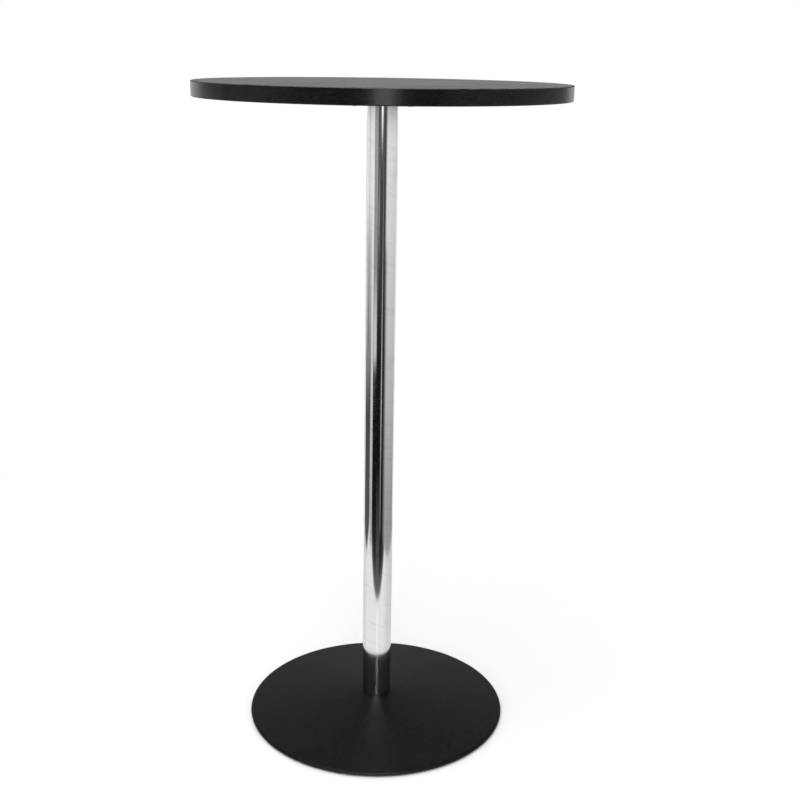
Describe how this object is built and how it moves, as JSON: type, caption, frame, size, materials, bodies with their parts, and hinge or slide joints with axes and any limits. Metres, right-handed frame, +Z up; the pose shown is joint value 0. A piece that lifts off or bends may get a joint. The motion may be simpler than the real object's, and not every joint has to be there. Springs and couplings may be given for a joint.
{
  "type": "round bar-height pedestal table",
  "caption": "Tall round pedestal table: laminated disc top on a chromed column over a low, weighted, conical base with levelling glides.",
  "frame": {"origin": "on the floor, under the middle of the column", "axes": "+Z up along the column's axis; the table is round, so +X and +Y only set where its bolts and glides lie"},
  "size_m": [0.6, 0.6, 1.1],
  "materials": {
    "black_laminate": "fine-textured black laminate",
    "black_edging": "satin black edge band",
    "chipboard": "raw particle board",
    "chrome": "bright chrome plate",
    "black_powder_coat": "fine-textured black powder coat",
    "cast_iron": "sand-cast iron under thin black primer",
    "zinc_plated_steel": "bright zinc plate",
    "black_nylon": "moulded black nylon"
  },
  "bodies": {
    "table": {"top_laminate": "black_laminate", "top_backer": "black_laminate", "edge_band": "black_edging", "top_core": "chipboard", "head_plate": "black_powder_coat", "head_spigot": "zinc_plated_steel", "column_tube": "chrome", "tie_rod": "zinc_plated_steel", "foot_spigot": "zinc_plated_steel", "base_cover": "black_powder_coat", "ballast": "cast_iron", "rod_washer": "zinc_plated_steel", "spring_washer": "zinc_plated_steel", "rod_nut": "zinc_plated_steel", "insert_nut_1": "zinc_plated_steel", "plate_bolt_1": "zinc_plated_steel", "plate_washer_1": "zinc_plated_steel", "insert_nut_2": "zinc_plated_steel", "plate_bolt_2": "zinc_plated_steel", "plate_washer_2": "zinc_plated_steel", "insert_nut_3": "zinc_plated_steel", "plate_bolt_3": "zinc_plated_steel", "plate_washer_3": "zinc_plated_steel", "insert_nut_4": "zinc_plated_steel", "plate_bolt_4": "zinc_plated_steel", "plate_washer_4": "zinc_plated_steel", "insert_nut_5": "zinc_plated_steel", "plate_bolt_5": "zinc_plated_steel", "plate_washer_5": "zinc_plated_steel", "insert_nut_6": "zinc_plated_steel", "plate_bolt_6": "zinc_plated_steel", "plate_washer_6": "zinc_plated_steel"},
    "glide_1": {"glide_pad_1": "black_nylon", "glide_stem_1": "zinc_plated_steel"},
    "glide_2": {"glide_pad_2": "black_nylon", "glide_stem_2": "zinc_plated_steel"},
    "glide_3": {"glide_pad_3": "black_nylon", "glide_stem_3": "zinc_plated_steel"},
    "glide_4": {"glide_pad_4": "black_nylon", "glide_stem_4": "zinc_plated_steel"}
  },
  "joints": [
    {"name": "glide_1_travel", "type": "slide", "parent": "table", "child": "glide_1", "axis": [0, 0, -1], "range_m": [0, 0.005]},
    {"name": "glide_2_travel", "type": "slide", "parent": "table", "child": "glide_2", "axis": [0, 0, -1], "range_m": [0, 0.005]},
    {"name": "glide_3_travel", "type": "slide", "parent": "table", "child": "glide_3", "axis": [0, 0, -1], "range_m": [0, 0.005]},
    {"name": "glide_4_travel", "type": "slide", "parent": "table", "child": "glide_4", "axis": [0, 0, -1], "range_m": [0, 0.005]}
  ]
}
